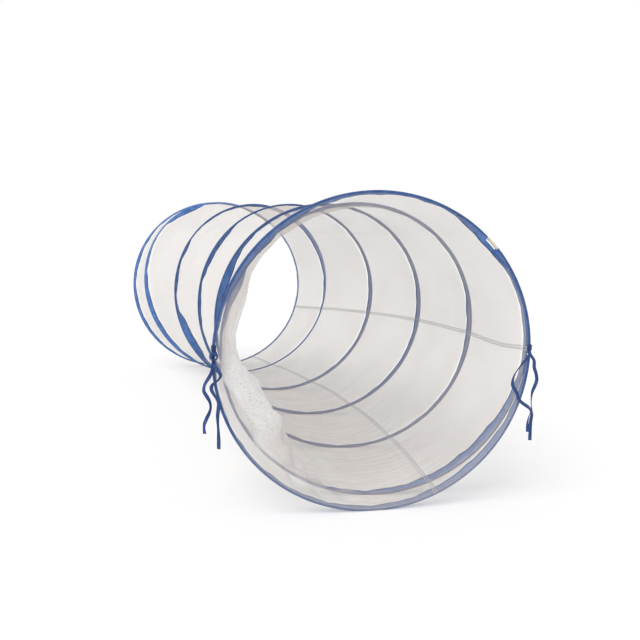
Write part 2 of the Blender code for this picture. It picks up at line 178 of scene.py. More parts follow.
# tape's lean at places along the wire, in degrees of turning: 0 lies back along the sleeve,
# 90 stands inwards from the wire, 180 lies forwards
leanKeys = [
    (-360, 70), (-352, 30), (-343, 12), (-320, 4), (-300, 8), (-270, 20), (-235, 10), (-200, 8),
    (-160, 12), (-135, 18), (-112, 28), (-102, 42), (-90, 50), (-80, 40), (-70, 28), (-50, 22),
    (-27, 14), (-15, 12), (-6, 40), (0, 70), (12, 40), (30, 22), (60, 20), (90, 12), (125, 4),
    (160, 6), (195, 15), (229, 16), (240, 30), (250, 58), (262, 28), (285, 20), (330, 24),
    (360, 18), (400, 26), (440, 14), (480, 6), (540, 12), (580, 20), (597, 45), (608, 78),
    (619, 52), (628, 30), (650, 22), (700, 18), (745, 28), (790, 22), (840, 6), (895, 14),
    (931, 20), (944, 30), (950, 40), (961, 20), (967, 44), (982, 56), (993, 42), (1004, 8),
    (1020, 6), (1060, 24), (1120, 30), (1170, 18), (1220, 10), (1262, 24), (1270, 60), (1279, 88),
    (1290, 66), (1300, 22), (1306, 20), (1314, 40), (1320, 36), (1330, 26), (1339, 42), (1347, 6),
    (1360, 22), (1386, 26), (1415, 50), (1445, 95), (1475, 135), (1510, 160), (1560, 168),
    (1602, 157), (1612, 142), (1624, 128), (1636, 110), (1656, 112), (1668, 135), (1680, 152),
    (1692, 158), (1702, 172), (1713, 172), (1721, 140), (1730, 112), (1737, 114), (1747, 170),
    (1790, 165), (1850, 158), (1900, 166), (1958, 166), (1975, 146), (1996, 130), (2018, 132),
    (2028, 150), (2041, 136), (2056, 150), (2071, 166), (2110, 160), (2160, 150),
]

# share of the tape's full width that shows at places along the wire
widthKeys = [
    (-360, 0.80), (-345, 0.42), (-315, 0.38), (-290, 0.75), (-262, 1.0), (-225, 0.95), (-130, 0.8),
    (-100, 1.1), (-85, 1.1), (-65, 0.9), (-20, 0.7), (-6, 0.85), (6, 0.8), (18, 0.38), (50, 0.32),
    (64, 0.7), (85, 1.45), (122, 1.4), (145, 0.8), (180, 0.6), (229, 0.8), (250, 1.1), (285, 0.8),
    (350, 0.5), (385, 0.45), (398, 0.75), (412, 0.7), (430, 0.38), (470, 0.45), (500, 0.7),
    (540, 0.8), (590, 0.9), (608, 1.2), (640, 0.9), (700, 0.6), (740, 0.5), (765, 0.85), (790, 0.6),
    (840, 0.75), (900, 1.1), (931, 0.8), (1000, 0.8), (1060, 0.5), (1100, 0.5), (1126, 0.9),
    (1150, 0.6), (1240, 0.9), (1270, 1.4), (1288, 1.4), (1305, 0.8), (1400, 0.6), (1480, 0.8),
    (1580, 0.8), (1650, 0.9), (1730, 0.9), (1800, 0.7), (1950, 0.7), (2020, 0.75), (2160, 0.8),
]


# a table's value at a place along the wire, eased from one row to the next
def keyed(keys, turned):
    degrees = np.degrees(np.asarray(turned, float))
    places, values = np.array(keys, float).T
    at = np.clip(np.searchsorted(places, degrees) - 1, 0, len(places) - 2)
    share = np.clip((degrees - places[at]) / (places[at + 1] - places[at]), 0, 1)
    share = share * share * (3 - 2 * share)
    return values[at] + (values[at + 1] - values[at]) * share


def leanAt(turned):
    return np.radians(keyed(leanKeys, turned))


# a value in a material, with arithmetic that adds its Math nodes
class Flow:

    def __init__(self, nodes, out):
        self.nodes, self.out = nodes, out

    def maths(self, kind, *values):
        return self.nodes.node("ShaderNodeMath", {"operation": kind}, dict(enumerate(values)))

    def __add__(self, other):
        return self.maths("ADD", self, other)

    def __radd__(self, other):
        return self.maths("ADD", other, self)

    def __sub__(self, other):
        return self.maths("SUBTRACT", self, other)

    def __rsub__(self, other):
        return self.maths("SUBTRACT", other, self)

    def __mul__(self, other):
        return self.maths("MULTIPLY", self, other)

    def __rmul__(self, other):
        return self.maths("MULTIPLY", other, self)

    def size(self):
        return self.maths("ABSOLUTE", self)

    def least(self, other):
        return self.maths("MINIMUM", self, other)

    def most(self, other):
        return self.maths("MAXIMUM", self, other)

    def wave(self, period):
        return self.maths("SINE", self * (turn / period))

    def ramp(self, low, high, first=0.0, last=1.0):
        return self.nodes.node("ShaderNodeMapRange", {"interpolation_type": "SMOOTHSTEP"},
                               {0: self, 1: low, 2: high, 3: first, 4: last})


class Nodes:

    def __init__(self, tree):
        self.tree = tree

    def feed(self, socket, value):
        if isinstance(value, Flow):
            self.tree.links.new(value.out, socket)
        else:
            socket.default_value = value

    def node(self, kind, settings=None, sockets=None, out=0):
        made = self.tree.nodes.new(kind)
        for key, value in (settings or {}).items():
            setattr(made, key, value)
        for key, value in (sockets or {}).items():
            self.feed(made.inputs[key], value)
        return Flow(self, made.outputs[out]) if len(made.outputs) else made

    def mix(self, share, low, high):
        return self.node("ShaderNodeMix", {"data_type": "RGBA"}, {0: share, 6: low, 7: high}, 2)

    # white to the camera and to mirrors, without lighting anything
    def whiteRays(self):
        seen = self.node("ShaderNodeLightPath", out="Is Camera Ray")
        for name in ("Is Glossy Ray", "Is Transmission Ray"):
            seen = seen.most(self.node("ShaderNodeLightPath", out=name))
        return seen


class Finish(Nodes):

    def __init__(self, name, roughness, constants=None):
        self.material = bpy.data.materials.new(name)
        self.material.use_nodes = True
        super().__init__(self.material.node_tree)
        self.shader = self.tree.nodes["Principled BSDF"]
        for key, value in {"Roughness": roughness, **(constants or {})}.items():
            self.set(key, value)

    def set(self, name, value):
        self.feed(self.shader.inputs[name], value)

    # distance across and along the strip, in metres
    def strip(self):
        spot = self.node("ShaderNodeTexCoord", out="UV")
        return spot, *(self.node("ShaderNodeSeparateXYZ", None, {0: spot}, axis) for axis in (0, 1))

    def noise(self, vector, scale, detail=3.0):
        return self.node("ShaderNodeTexNoise", None, {"Vector": vector, "Scale": scale, "Detail": detail})

    def stretched(self, across, along, scale):
        vector = self.node("ShaderNodeCombineXYZ", None, {0: across, 1: along})
        return self.noise(vector, scale)

    def bump(self, height, distance, strength=1.0):
        self.set("Normal", self.node("ShaderNodeBump", None,
                                     {"Height": height, "Distance": distance, "Strength": strength}))

    def colour(self, value):
        self.set("Base Color", value)


def deselect():
    if bpy.context.object and bpy.context.object.mode != "OBJECT":
        bpy.ops.object.mode_set(mode="OBJECT")
    bpy.ops.object.select_all(action="DESELECT")


# lays rows of points as one cloth or skin; a closed one points outwards, a capped one has its ends filled
def layGrid(name, spots, uvs, material, closed=False, capped=False, gather=None):
    deselect()
    rows, columns = spots.shape[:2]
    bpy.ops.mesh.primitive_grid_add(x_subdivisions=columns - 1, y_subdivisions=rows - 1, size=1)
    piece = bpy.context.object
    piece.name = piece.data.name = name
    mesh = piece.data
    mesh.vertices.foreach_set("co", spots.reshape(-1).astype(np.float32))
    corners = np.empty(len(mesh.loops), int)
    mesh.loops.foreach_get("vertex_index", corners)
    layer = mesh.uv_layers[0]
    layer.name = "strip"
    layer.data.foreach_set("uv", uvs.reshape(-1, 2)[corners].reshape(-1).astype(np.float32))
    if gather is not None:
        mesh.attributes.new("gather", "FLOAT", "POINT").data.foreach_set(
            "value", gather.reshape(-1).astype(np.float32))
    mesh.update()
    bpy.ops.object.mode_set(mode="EDIT")
    bpy.ops.mesh.select_all(action="SELECT")
    bpy.ops.mesh.remove_doubles(threshold=2e-5)
    if capped:
        bpy.ops.mesh.select_all(action="SELECT")
        bpy.ops.mesh.fill_holes(sides=60)
    if closed:
        bpy.ops.mesh.select_all(action="SELECT")
        bpy.ops.mesh.normals_make_consistent(inside=False)
    bpy.ops.object.mode_set(mode="OBJECT")
    bpy.ops.object.shade_smooth_by_angle(angle=math.radians(50))
    mesh.materials.append(material)
    return piece


foldEnd = 0.003             # from the wire to where the tape's two plies meet


# sweeps a profile of (reach from the wire, height off the tape's plane) along the wire;
# where bare is 1 only what lies beyond the crimp is left
def sweepWire(name, turned, profile, material, lean=None, stretch=None, onFloor=True, offset=0.0,
              bare=None, veil=None):
    spot, run, outward, rearward = wireFrame(turned)
    lean = (leanAt(turned) if lean is None else lean)[:, None]
    towards = np.cos(lean) * rearward - np.sin(lean) * outward
    square = np.cos(lean) * outward + np.sin(lean) * rearward
    outline = np.array(profile + profile[:1])
    reach, height = (np.broadcast_to(outline[:, i], (len(turned), len(outline))) for i in (0, 1))
    across = reach
    if stretch is not None:
        reach = np.where(reach > foldEnd, foldEnd + (reach - foldEnd) * stretch[:, None], reach)
    if bare is not None:
        least = -foldEnd + (crimpValues["clear"] + foldEnd) * bare[:, None]
        limit = foldEnd - (foldEnd - crimpValues["thin"]) * bare[:, None]
        reach = np.maximum(reach, least)
        height = np.clip(height, -limit, limit)
    spots = spot[:, None] + rearward[:, None] * offset + reach[..., None] * towards[:, None] \
        + height[..., None] * square[:, None]
    if onFloor:
        spots[..., 2] = np.maximum(spots[..., 2], tapeValues["offFloor"])
    length = np.concatenate([[0], np.cumsum(np.linalg.norm(np.diff(spot, axis=0), axis=1))])
    uvs = np.stack(np.broadcast_arrays(across, length[:, None]), -1)
    if veil is not None:
        veil = np.clip(np.where(height > 0, -1, 1) * veil[:, None], 0, 1)
    return layGrid(name, spots, uvs, material, closed=True, capped=True, gather=veil)


# ribbon ties of the front ring
tieValues = {
    "width": 0.0066,
    "thickness": 0.0006,
    "cup": 0.0003,
    "twist": 48,
    "waves": 11,            # how fast the twist comes and goes down a tail
    "layer": 0.00055,
    "clearance": 0.0003,
    "edge": (0.0020, 0.0033),
    "rib": 0.00075,
    "thread": 0.0006,
    "mottle": 130.0,
    "relief": 0.00018,
    "royal": (0.012, 0.058, 0.225, 1),
    "navy": (0.006, 0.022, 0.105, 1),
}
# each tail's route starts under the middle of what it hangs from; side -1 hangs in front
tailValues = {
    "frontRightTieTailA": {
        "node": "front_right_tie_tail_a", "hangsFrom": "front_right_tie_tack", "side": -1, "length": 0.1863,
        "route": [
            (0, 0, 0), (-0.0010, -0.0030, -0.0045), (-0.0050, -0.0065, -0.0100),
            (-0.0155, -0.0080, -0.0210), (-0.0240, -0.0085, -0.0310), (-0.0315, -0.0085, -0.0415),
            (-0.0355, -0.0085, -0.0530), (-0.0355, -0.0085, -0.0645), (-0.0300, -0.0085, -0.0735),
            (-0.0248, -0.0085, -0.0825), (-0.0220, -0.0085, -0.0910), (-0.0150, -0.0085, -0.0985),
            (-0.0065, -0.0085, -0.1045), (0.0015, -0.0085, -0.1105), (0.0040, -0.0085, -0.1190),
            (0.0010, -0.0085, -0.1275), (-0.0010, -0.0085, -0.1380), (-0.0005, -0.0085, -0.1475),
            (0.0005, -0.0085, -0.1570)]},
    "frontRightTieTailB": {
        "node": "front_right_tie_tail_b", "hangsFrom": "front_right_tie_tack", "side": 1, "length": 0.1809,
        "route": [
            (0, 0, 0), (0.0005, -0.0004, -0.0045), (0.0040, -0.0015, -0.0100),
            (0.0092, -0.0036, -0.0190), (0.0100, -0.0042, -0.0320), (0.0145, -0.0042, -0.0445),
            (0.0165, -0.0042, -0.0570), (0.0130, -0.0042, -0.0685), (0.0088, -0.0042, -0.0790),
            (0.0074, -0.0042, -0.0910), (0.0076, -0.0042, -0.1030), (0.0088, -0.0042, -0.1145),
            (0.0100, -0.0042, -0.1250), (0.0086, -0.0042, -0.1360), (0.0082, -0.0042, -0.1490),
            (0.0085, -0.0042, -0.1620), (0.0087, -0.0042, -0.1755)]},
    "frontLeftTieTailA": {
        "node": "front_left_tie_tail_a", "hangsFrom": "front_left_tie_knot", "side": -1, "length": 0.1657,
        "route": [
            (0, 0, 0), (0.0027, -0.0030, -0.0063), (0.0081, -0.0055, -0.0135),
            (0.0113, -0.0062, -0.0212), (0.0063, -0.0062, -0.0288), (-0.0023, -0.0062, -0.0356),
            (-0.0049, -0.0062, -0.0432), (-0.0014, -0.0062, -0.0522), (0.0040, -0.0062, -0.0612),
            (0.0072, -0.0062, -0.0702), (0.0070, -0.0062, -0.0810), (0.0059, -0.0062, -0.0918),
            (0.0061, -0.0062, -0.1026), (0.0067, -0.0062, -0.1134), (0.0072, -0.0062, -0.1251),
            (0.0076, -0.0062, -0.1377), (0.0077, -0.0062, -0.1530)]},
    "frontLeftTieTailB": {
        "node": "front_left_tie_tail_b", "hangsFrom": "front_left_tie_knot", "side": 1, "length": 0.1356,
        "route": [
            (0, 0, 0), (-0.0018, 0.0001, -0.0072), (-0.0040, 0.0002, -0.0158),
            (-0.0080, 0.0008, -0.0243), (-0.0127, 0.0026, -0.0320), (-0.0166, 0.0034, -0.0405),
            (-0.0171, 0.0034, -0.0504), (-0.0122, 0.0034, -0.0594), (-0.0072, 0.0034, -0.0688),
            (-0.0056, 0.0034, -0.0792), (-0.0081, 0.0034, -0.0891), (-0.0126, 0.0034, -0.0990),
            (-0.0166, 0.0034, -0.1089), (-0.0173, 0.0034, -0.1179), (-0.0164, 0.0034, -0.1269)]},
}


def ribbonFinish():
    finish = Finish("ribbonSatin", 0.42)
    spot, across, down = finish.strip()
    edge = across.size().ramp(*tieValues["edge"])
    mottle = finish.noise(spot, tieValues["mottle"])
    ribs = down.wave(tieValues["rib"])
    threads = across.wave(tieValues["thread"])
    shade = edge * 0.75 + mottle.ramp(0.35, 0.75) * 0.35
    finish.colour(finish.mix(shade, tieValues["royal"], tieValues["navy"]))
    finish.set("Roughness", 0.38 + mottle * 0.18)
    finish.bump(ribs * 0.6 + threads * 0.3 + edge * 0.8, tieValues["relief"], 0.7)
    return finish.material


# a curve through all the points
def smoothRoute(points, steps=6):
    points = np.array(points, float)
    padded = np.vstack([2 * points[0] - points[1], points, 2 * points[-1] - points[-2]])
    out = []
    for i in range(1, len(padded) - 2):
        p0, p1, p2, p3 = padded[i - 1:i + 3]
        for k in range(steps):
            t = k / steps
            out.append(0.5 * (2 * p1 + (p2 - p0) * t + (2 * p0 - 5 * p1 + 4 * p2 - p3) * t * t
                              + (3 * p1 - p0 - 3 * p2 + p3) * t ** 3))
    out.append(padded[-2])
    return np.array(out)


def ribbonStrip(name, route, twists, material, cup):
    run = unit(np.gradient(route, axis=0))
    sideways = unit(np.stack([-run[:, 2], np.zeros(len(run)), run[:, 0]], -1))
    forwards = unit(np.cross(sideways, run))
    half, thick = tieValues["width"] / 2, tieValues["thickness"] / 2
    outline = [(-1, 0.4), (-0.55, 1), (0, 1), (0.55, 1), (1, 0.4), (1, -0.4), (0.55, -1), (0, -1),
               (-0.55, -1), (-1, -0.4), (-1, 0.4)]
    wide = sideways * np.cos(twists)[:, None] + forwards * np.sin(twists)[:, None]
    deep = forwards * np.cos(twists)[:, None] - sideways * np.sin(twists)[:, None]
    across, over = np.array(outline).T
    lift = over * thick + cup * (1 - across * across)
    spots = route[:, None] + (across * half)[None, :, None] * wide[:, None] \
        + lift[None, :, None] * deep[:, None]
    length = np.concatenate([[0], np.cumsum(np.linalg.norm(np.diff(route, axis=0), axis=1))])
    uvs = np.stack(np.broadcast_arrays((across * half)[None], length[:, None]), -1)
    return layGrid(name, spots, uvs, material, closed=True, capped=True)


def addTails(material):
    for name, values in tailValues.items():
        low, high = np.array(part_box(values["hangsFrom"]))
        start = (low + high) / 2
        start[1:] = start[1] + values["side"] * tieValues["layer"], low[2] - tieValues["clearance"]
        route = smoothRoute(values["route"]) + start
        share = np.linspace(0, 1, len(route))
        waves = np.sin(share * tieValues["waves"] + values["side"]) * np.clip(share * 4, 0, 1)
        tail = ribbonStrip(name, route, np.radians(tieValues["twist"]) * waves, material, tieValues["cup"])
        rigid(tail, "front_end", "blue_ribbon", values["node"])


# the ribbon's folded middle, sewn to the tape
def addTacks(material):
    for name, node in (("frontRightTieTack", "front_right_tie_tack"),
                       ("frontLeftTieTack", "front_left_tie_tack")):
        low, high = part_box(node)
        middle = [(low[i] + high[i]) / 2 for i in range(3)]
        deselect()
        bpy.ops.mesh.primitive_cube_add(size=1, location=middle)
        tack = bpy.context.object
        tack.name = tack.data.name = name
        tack.scale = [high[i] - low[i] for i in range(3)]
        bpy.ops.object.transform_apply(location=True, rotation=False, scale=True)
        bpy.ops.object.mode_set(mode="EDIT")
        bpy.ops.mesh.select_all(action="SELECT")
        bpy.ops.mesh.subdivide(number_cuts=3)
        bpy.ops.mesh.select_all(action="SELECT")
        bpy.ops.mesh.vertices_smooth(factor=0.25, repeat=1)
        bpy.ops.object.mode_set(mode="OBJECT")
        soft = tack.modifiers.new("soft", "SUBSURF")
        soft.levels = soft.render_levels = 2
        bpy.ops.object.modifier_apply(modifier="soft")
        bpy.ops.object.shade_smooth()
        tack.data.materials.append(material)
        rigid(tack, "front_end", "blue_ribbon", node)


knotValues = {
    # way of one loop across, forwards and down from the knot's top, and its end above the bottom
    "loop": [(0.0010, 0.0007, 0), (0.0040, 0.0010, 0.0035), (0.0062, 0.0010, 0.0080),
             (0.0045, 0.0010, 0.0125), (0, 0.0008, 0.0160)],
    "loopEnd": (-0.0020, 0.0006, 0.0004),
    "twist": 55,
    "cup": 0.0002,
    "wrapDown": 0.0035,
    "wrapHalf": (0.0052, 0.0024),
    "wrapWave": 0.0012,
    # outwards and up from the middle of the wrap
    "wrapOutline": [(0, 0.003), (0.0009, 0.0018), (0.0011, 0), (0.0009, -0.0018), (0, -0.003),
                    (-0.0004, -0.0015), (-0.0004, 0.0015), (0, 0.003)],
    "wrapStretch": 0.006,
}


def addKnot(material):
    low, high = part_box("front_left_tie_knot")
    x, y = (low[0] + high[0]) / 2, (low[1] + high[1]) / 2
    top, bottom = high[2], low[2]
    strips = []
    for side in (-1, 1):
        points = [(x + side * across, y + side * ahead, top - down)
                  for across, ahead, down in knotValues["loop"]]
        across, ahead, up = knotValues["loopEnd"]
        points.append((x + side * across, y + side * ahead, bottom + up))
        route = smoothRoute(points, 8)
        twists = np.full(len(route), np.radians(knotValues["twist"]) * side)
        strips.append(ribbonStrip(f"knotBand{side}", route, twists, material, knotValues["cup"]))
    angles = np.linspace(0, turn, 33)
    wide, deep = knotValues["wrapHalf"]
    wave = knotValues["wrapWave"] * np.sin(2 * angles)
    ring = np.stack([x + wide * np.cos(angles), y + deep * np.sin(angles),
                     top - knotValues["wrapDown"] + wave], -1)
    outward = unit(np.stack([np.cos(angles), 1.6 * np.sin(angles), 0 * angles], -1))
    out, up = np.array(knotValues["wrapOutline"]).T
    rows = ring[:, None] + out[None, :, None] * outward[:, None] + up[None, :, None] * np.array([0, 0, 1])
    uvs = np.stack(np.broadcast_arrays(up[None], (angles * knotValues["wrapStretch"])[:, None]), -1)
    strips.append(layGrid("knotWrap", rows, uvs, material, closed=True))
    deselect()
    for strip in strips:
        strip.select_set(True)
    knot = bpy.context.view_layer.objects.active = strips[0]
    bpy.ops.object.join()
    knot.name = knot.data.name = "frontLeftTieKnot"
    rigid(knot, "front_end", "blue_ribbon", "front_left_tie_knot")


ribbon = ribbonFinish()
addTails(ribbon)
addTacks(ribbon)
addKnot(ribbon)
print("ties made")

# spring wire and the crimps that join its ends to the mouth rings
wireValues = {
    "steps": 1401,
    "sides": 8,
    "dull": (0.42, 0.43, 0.45, 1),
    "bright": (0.62, 0.63, 0.65, 1),
    "marks": 900.0,
    "relief": 0.00008,
}
crimpValues = {
    "wall": 0.0022,
    "steps": 30,
    "swell": 0.05,
    "angle": 0.029 / 0.301,
    "showing": 0.026 / 0.301,
    "clear": 0.0046,        # from the wire to the part of the tape that goes on past a crimp
    "thin": 0.0008,         # half of that part's thickness
    "winding": 0.0042,
    "dust": 700.0,
    "relief": 0.00035,
    "pale": (0.78, 0.75, 0.63, 1),
    "soiled": (0.60, 0.54, 0.38, 1),
}


def steelFinish():
    finish = Finish("springSteel", 0.3, {"Metallic": 1.0})
    spot, across, down = finish.strip()
    marks = finish.noise(spot, wireValues["marks"])
    finish.colour(finish.mix(marks, wireValues["dull"], wireValues["bright"]))
    finish.set("Roughness", 0.24 + marks * 0.2)
    finish.bump(marks, wireValues["relief"], 0.5)
    return finish.material


def crimpFinish():
    finish = Finish("crimpWrap", 0.55, {"Sheen Weight": 0.1})
    spot, across, down = finish.strip()
    winding = (down + across * 0.5).wave(crimpValues["winding"])
    dust = finish.noise(spot, crimpValues["dust"])
    shade = winding.ramp(0.2, 1.0) * 0.5 + dust * 0.4
    finish.colour(finish.mix(shade, crimpValues["pale"], crimpValues["soiled"]))
    finish.bump(winding * 0.6 + dust * 0.5, crimpValues["relief"], 0.9)
    return finish.material


# a round outline, or one drawn out sideways to hold two wires
def ringProfile(radius, count, reach=0.0):
    outline = []
    for k in range(count):
        across, up = math.cos(turn * k / count), math.sin(turn * k / count)
        outline.append((radius * across + math.copysign(reach, across), radius * up))
    return outline


def addWire():
    turned = np.linspace(-turn, lastTurned + turn, wireValues["steps"])
    outline = ringProfile(spiral["wireRadius"], wireValues["sides"])
    wire = sweepWire("springWire", turned, outline, steelFinish(),
                     lean=np.full(len(turned), math.pi / 2), onFloor=False)
    bent(wire, "spring_steel", "spring_wire")


def addCrimp(name, body, first, side, node, finish):
    count, half = crimpValues["steps"], spiral["lapStep"] / 2
    turned = np.linspace(first, first + crimpValues["angle"], count)
    swell = 1 + crimpValues["swell"] * np.sin(np.arange(count) * 1.7)
    crimp = sweepWire(name, turned, ringProfile(crimpValues["wall"], 16, half), finish,
                      lean=np.zeros(count), stretch=swell, onFloor=False, offset=side * half)
    rigid(crimp, body, "crimp_cover", node)


addWire()
wrap = crimpFinish()
addCrimp("frontWireCrimp", "front_end", 0, -1, "front_wire_crimp", wrap)
addCrimp("rearWireCrimp", "rear_end", lastTurned - crimpValues["angle"], 1, "rear_wire_crimp", wrap)
print("wire and crimps made")

# tape folded round the wire, with its two edges sewn to the net
tapeValues = {
    "reach": 0.0160,        # from the wire to the tape's edge
    "sewnAt": 0.0135,       # from the wire to the row of stitches
    # reach from the wire and half of the thickness, from where the fold ends to the edge
    "plies": [(0.0028, 0.0017), (0.0052, 0.0009), (0.0095, 0.0007), (0.0160, 0.0004)],
    "offFloor": 0.0003,
    "leanRipple": 0.05,
    "widthRipple": 0.02,
    "blue": (0.052, 0.152, 0.450, 1),
    "pale": (0.108, 0.240, 0.570, 1),
    "navy": (0.010, 0.030, 0.120, 1),
    "thread": (0.20, 0.30, 0.55, 1),
    "veil": (0.60, 0.61, 0.64, 1),
    "innerEdge": (0.0122, 0.0140),    # reaches between which the tape turns navy, as painted shade along its sewn edge
    # reaches round the fold at the wire where the tape turns navy, also as painted shade
    "outerEdge": (0.0002, -0.0014),
    "stitch": 0.0034,
    "stitchWidth": (0.00055, 0.0002),
    "mottle": 60.0,
    "fleck": 650.0,
    "weave": (0.0008, 0.0011),
    "relief": 0.0004,
    # net's thread drawn over the tape, along the turns: more than 0 on the faces that look into
    # the sleeve, less than 0 on those that look out
    "veiled": [(-304, 0), (-288, 0.7), (-175, 0.7), (-155, 0), (10, 0), (20, 1), (46, 1), (60, 0.5),
               (122, 0.5), (150, 0.2), (200, 0), (308, 0), (322, 0.8), (376, 0.8), (390, 0.2),
               (402, 0.45), (440, 0.45), (460, 0.7), (480, 0.7), (530, 0.35), (600, 0), (632, 0),
               (642, -0.7), (672, -0.7), (686, 0.6), (738, 0.6), (748, 0), (790, 0.1), (850, 0.25),
               (920, 0.2), (950, 0), (1010, 0), (1018, -0.7), (1046, -0.7), (1060, 0.6), (1096, 0.6),
               (1106, 0), (1150, 0), (1210, 0.2), (1260, 0), (1330, 0), (1338, -0.8), (1378, -0.8),
               (1392, 0), (1690, 0), (1698, -0.8), (1716, -0.8), (1730, 0)],
    "veilCell": 0.0052,
    "perTurn": 240,
    "exit": 0.8241,         # angle over which two wires run side by side in a ring's tape
    "gap": 0.0022 / 0.301,
    "ease": 0.006,          # angle over which the fold gives way to a crimp
    "split": 0.001,         # between a ring's tape and the free turns'
}


def tapeFinish():
    finish = Finish("bindingTape", 0.75, {"Sheen Weight": 0.2, "Sheen Roughness": 0.5})
    spot, across, down = finish.strip()
    innerEdge, outerEdge = across.ramp(*tapeValues["innerEdge"]), across.ramp(*tapeValues["outerEdge"])
    mottle = finish.noise(spot, tapeValues["mottle"])
    fleck = finish.noise(spot, tapeValues["fleck"])
    centre = finish.mix(mottle.ramp(0.35, 0.7), tapeValues["blue"], tapeValues["pale"])
    # navy along the sewn edge and round the fold at the wire is painted shade; fine navy flecks are
    # scattered over it all
    body = finish.mix(innerEdge * 0.85 + outerEdge * 0.55 + fleck * 0.15, centre, tapeValues["navy"])
    row = (across - tapeValues["sewnAt"]).size().ramp(*tapeValues["stitchWidth"])
    stitch = row * down.wave(tapeValues["stitch"]).ramp(-0.35, 0.1)
    veil = finish.node("ShaderNodeAttribute", {"attribute_name": "gather"}, None, "Fac")
    dots = (across.wave(tapeValues["veilCell"]) * down.wave(tapeValues["veilCell"])).ramp(-0.1, 0.4)
    veil = veil * (0.4 + dots * 0.45) * (1 - innerEdge * 0.6 - outerEdge * 0.5)
    sewn = finish.mix(stitch * 0.7, body, tapeValues["thread"])
    finish.colour(finish.mix(veil, sewn, tapeValues["veil"]))
    weave = across.wave(tapeValues["weave"][0]) * down.wave(tapeValues["weave"][1])
    finish.set("Roughness", 0.68 + fleck * 0.2)
    finish.bump(weave * 0.35 + stitch * 0.9 + mottle * 0.8, tapeValues["relief"], 0.8)
    return finish.material


# half of the tape's thickness at a reach from the wire: round it first, then two plies
def tapeHeight(reach):
    r = spiral["tapeRadius"]
    rounding = [(-1.15, 0), (-1, 0.4), (-0.72, 0.72), (-0.4, 0.93), (0, 1)]
    places, heights = np.array([(a * r, b * r) for a, b in rounding] + tapeValues["plies"]).T
    return np.interp(reach, places, heights)


def tapeProfile():
    r, reach = spiral["tapeRadius"], tapeValues["reach"]
    places = (0, *(place for place, height in tapeValues["plies"][:-1]), reach - 0.002, reach)
    side = [(-r, 0), (-0.72 * r, 0.72 * r)] + [(p, float(tapeHeight(p))) for p in places]
    return side + [(p, -q) for p, q in reversed(side[1:])]


def ripple(turned, size):
    return size * (np.sin(turned * 23.0) + 0.6 * np.sin(turned * 41.0 + 1.3)
                   + 0.4 * np.sin(turned * 67.0 + 2.1))


def tapeLean(turned):
    return leanAt(turned) + ripple(turned, tapeValues["leanRipple"])


# opening is the stretch of turning over which a crimp takes the place of the tape's fold
def makeTape(name, first, last, finish, opening=None):
    count = max(int((last - first) / turn * tapeValues["perTurn"]), 24)
    turned = np.linspace(first, last, count + 1)
    bare = None
    if opening:
        (start, end), ease = opening, tapeValues["ease"]
        turned = np.union1d(turned, np.linspace(start - ease, end + ease, 40))
        turned = turned[(turned >= first) & (turned <= last)]
        bare = np.clip(np.minimum(turned - start, end - turned) / ease + 0.5, 0, 1)
    stretch = keyed(widthKeys, turned) + ripple(turned * 1.3 + 2, tapeValues["widthRipple"])
    return sweepWire(name, turned, tapeProfile(), finish, lean=tapeLean(turned), stretch=stretch, bare=bare,
                     veil=keyed(tapeValues["veiled"], turned))


tape = tapeFinish()
gap, lap, bareAngle = tapeValues["gap"], tapeValues["exit"], crimpValues["showing"]
ringEnd = bareAngle - tapeValues["split"]
rigid(makeTape("frontRingTape", -turn + lap + gap, ringEnd, tape, (-gap, bareAngle)),
      "front_end", "blue_tape", "front_ring_casing")
rigid(makeTape("frontLapTape", -turn + bareAngle, -turn + lap, tape),
      "front_end", "blue_tape", "front_lap_sleeve")
rigid(makeTape("rearRingTape", lastTurned - ringEnd, lastTurned + turn - lap - gap, tape,
               (lastTurned - bareAngle, lastTurned + gap)), "rear_end", "blue_tape", "rear_ring_casing")
rigid(makeTape("rearLapTape", lastTurned + turn - lap, lastTurned + turn - bareAngle, tape),
      "rear_end", "blue_tape", "rear_lap_sleeve")
bent(makeTape("spiralTape", bareAngle, lastTurned - bareAngle, tape),
     "blue_tape", *(f"casing_turn_{k}" for k in range(1, 6)))
print("tape made")

